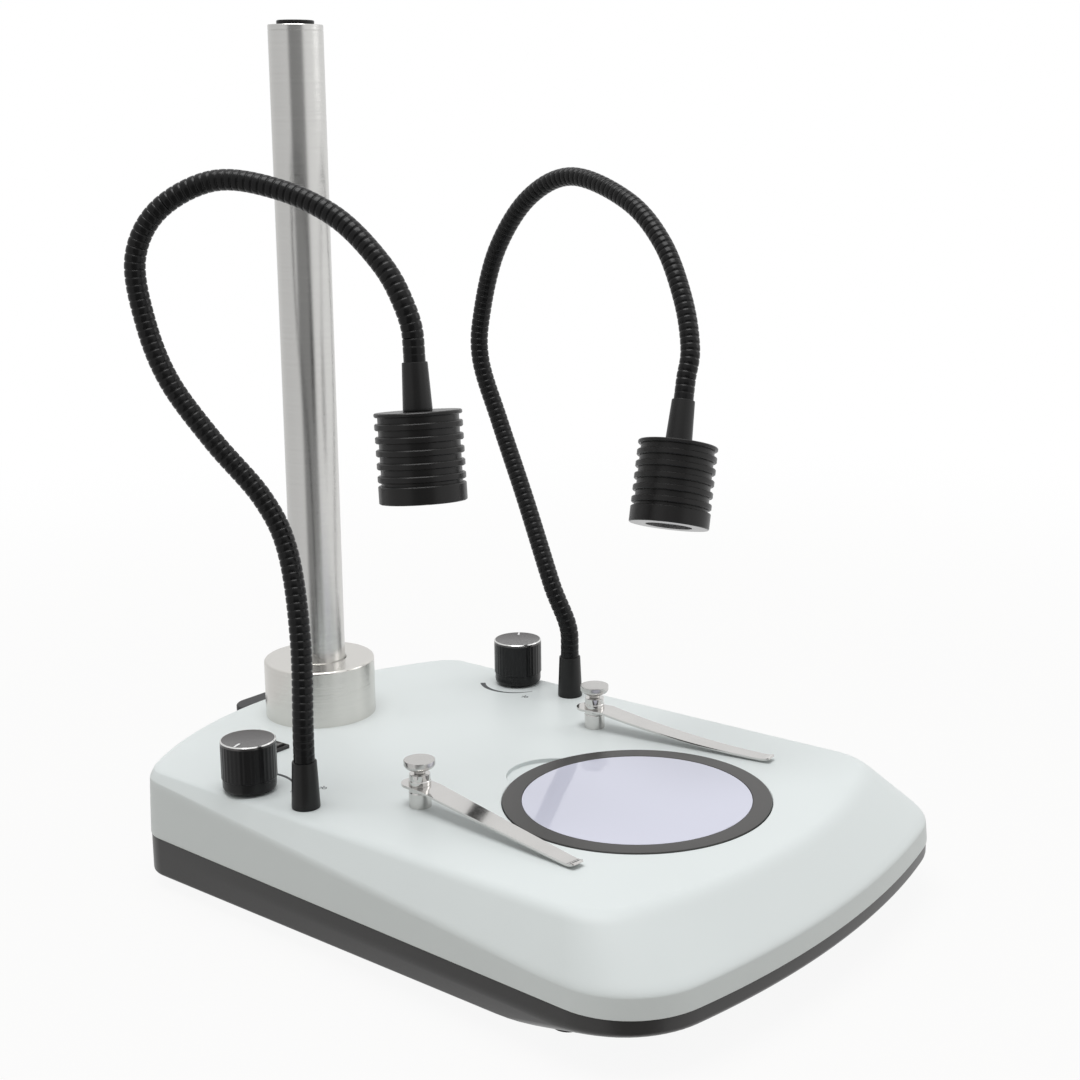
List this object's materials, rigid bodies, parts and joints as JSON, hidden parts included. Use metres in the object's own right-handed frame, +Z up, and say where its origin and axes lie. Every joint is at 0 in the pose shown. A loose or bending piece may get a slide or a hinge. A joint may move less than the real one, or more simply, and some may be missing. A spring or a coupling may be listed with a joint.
{
  "type": "microscope post stand",
  "caption": "Microscope stand with a wide flat base, an upright round post in a collar, a lit glass stage with spring clips, and finned gooseneck lamps with dimmer knobs.",
  "frame": {"origin": "on the floor, under the middle of the object's bounding box", "axes": "+Z up along the post, +X to the right of a user, and the front of the base faces -Y"},
  "size_m": [0.2364, 0.342, 0.3825],
  "materials": {
    "housing_paint": "pale mint-grey satin paint",
    "pan_paint": "dark grey satin paint",
    "rubber": "moulded black rubber",
    "steel": "plated steel",
    "post_steel": "fine turned steel",
    "collar_metal": "satin turned aluminium",
    "black_plastic": "moulded black plastic",
    "gloss_black": "polished black plastic",
    "well_white": "white plastic",
    "diffuser_white": "opal plastic",
    "board": "coated circuit board",
    "light_board": "white coated metal board",
    "emitter": "phosphor coated",
    "ring_metal": "dark anodised",
    "stage_glass": "opal, polished, slightly lavender",
    "knob_metal": "spun, dark anodised, bright rim",
    "shaft_metal": "turned",
    "chrome": "polished plating",
    "hose_black": "black coated wound steel",
    "lead_black": "black insulated lead",
    "lamp_black": "black anodised",
    "lens_glass": "clear"
  },
  "bodies": {
    "base": {"top_housing": "housing_paint", "bottom_pan": "pan_paint", "rubber_feet": "rubber", "foot_screws": "steel", "post_collar": "collar_metal", "collar_screws": "steel", "collar_set_screw": "steel", "post": "post_steel", "post_cap": "black_plastic", "post_bolt": "steel", "light_well": "well_white", "led_board": "light_board", "led_chips": "emitter", "diffuser": "diffuser_white", "rear_block": "black_plastic", "power_jack": "gloss_black", "power_board": "board", "switch_bezel": "black_plastic", "left_pot": "steel", "right_pot": "steel", "pot_nuts": "steel", "dimmer_boards": "board", "left_neck_boot": "black_plastic", "right_neck_boot": "black_plastic", "gland_nuts": "steel", "left_clip_post": "chrome", "right_clip_post": "chrome"},
    "stage_plate": {"stage_ring": "ring_metal", "stage_glass": "stage_glass"},
    "switch_rocker": {"switch_rocker": "gloss_black"},
    "left_knob": {"left_knob": "black_plastic", "left_knob_cap": "knob_metal", "left_pot_shaft": "shaft_metal"},
    "left_clip": {"left_clip_blade": "chrome", "left_clip_collar": "chrome"},
    "left_clip_screw": {"left_clip_screw": "chrome"},
    "left_neck": {"left_hose_lower": "hose_black", "left_hose_upper": "hose_black", "left_lead_lower": "lead_black", "left_lead_upper": "lead_black"},
    "left_lamp": {"left_lamp_boot": "black_plastic", "left_lamp_sink": "lamp_black", "left_lamp_bezel": "lamp_black", "left_lamp_lens": "lens_glass", "left_lamp_led": "emitter"},
    "right_knob": {"right_knob": "black_plastic", "right_knob_cap": "knob_metal", "right_pot_shaft": "shaft_metal"},
    "right_clip": {"right_clip_blade": "chrome", "right_clip_collar": "chrome"},
    "right_clip_screw": {"right_clip_screw": "chrome"},
    "right_neck": {"right_hose_lower": "hose_black", "right_hose_upper": "hose_black", "right_lead_lower": "lead_black", "right_lead_upper": "lead_black"},
    "right_lamp": {"right_lamp_boot": "black_plastic", "right_lamp_sink": "lamp_black", "right_lamp_bezel": "lamp_black", "right_lamp_lens": "lens_glass", "right_lamp_led": "emitter"}
  },
  "joints": [
    {"name": "stage_plate_lift", "type": "slide", "parent": "base", "child": "stage_plate", "axis": [0, 0, 1], "range_m": [0, 0.03]},
    {"name": "switch_rock", "type": "hinge", "parent": "base", "child": "switch_rocker", "pos_m": [-0.0531, 0.107, 0.053], "axis": [-1, 0, 0], "range_deg": [0, 24]},
    {"name": "left_knob_turn", "type": "hinge", "parent": "base", "child": "left_knob", "pos_m": [-0.0908, 0.073, 0.06], "axis": [0, 0, 1], "range_deg": [-150, 150]},
    {"name": "left_clip_swing", "type": "hinge", "parent": "base", "child": "left_clip", "pos_m": [-0.0608, 0.0005, 0.0633], "axis": [0, 0, -1], "range_deg": [-40, 75]},
    {"name": "left_clip_screw_turn", "type": "hinge", "parent": "base", "child": "left_clip_screw", "pos_m": [-0.0608, 0.0005, 0.07], "axis": [0, 0, 1], "range_deg": [-180, 180]},
    {"name": "left_neck_swivel", "type": "hinge", "parent": "base", "child": "left_neck", "pos_m": [-0.0904, 0.0387, 0.0745], "axis": [0, 0, 1], "range_deg": [-60, 60]},
    {"name": "left_lamp_bend", "type": "hinge", "parent": "left_neck", "child": "left_lamp", "pos_m": [-0.06, 0.046, 0.3], "axis": [0.9555, 0.295, 0], "range_deg": [-20, 25], "deforming": ["left_hose_upper", "left_lead_upper"]},
    {"name": "right_knob_turn", "type": "hinge", "parent": "base", "child": "right_knob", "pos_m": [0.0908, 0.073, 0.06], "axis": [0, 0, 1], "range_deg": [-150, 150]},
    {"name": "right_clip_swing", "type": "hinge", "parent": "base", "child": "right_clip", "pos_m": [0.0608, 0.0005, 0.0633], "axis": [0, 0, 1], "range_deg": [-40, 75]},
    {"name": "right_clip_screw_turn", "type": "hinge", "parent": "base", "child": "right_clip_screw", "pos_m": [0.0608, 0.0005, 0.07], "axis": [0, 0, 1], "range_deg": [-180, 180]},
    {"name": "right_neck_swivel", "type": "hinge", "parent": "base", "child": "right_neck", "pos_m": [0.0904, 0.0387, 0.0745], "axis": [0, 0, 1], "range_deg": [-60, 60]},
    {"name": "right_lamp_bend", "type": "hinge", "parent": "right_neck", "child": "right_lamp", "pos_m": [0.094, -0.012, 0.289], "axis": [0.9436, -0.3311, 0], "range_deg": [-20, 25], "deforming": ["right_hose_upper", "right_lead_upper"]}
  ]
}
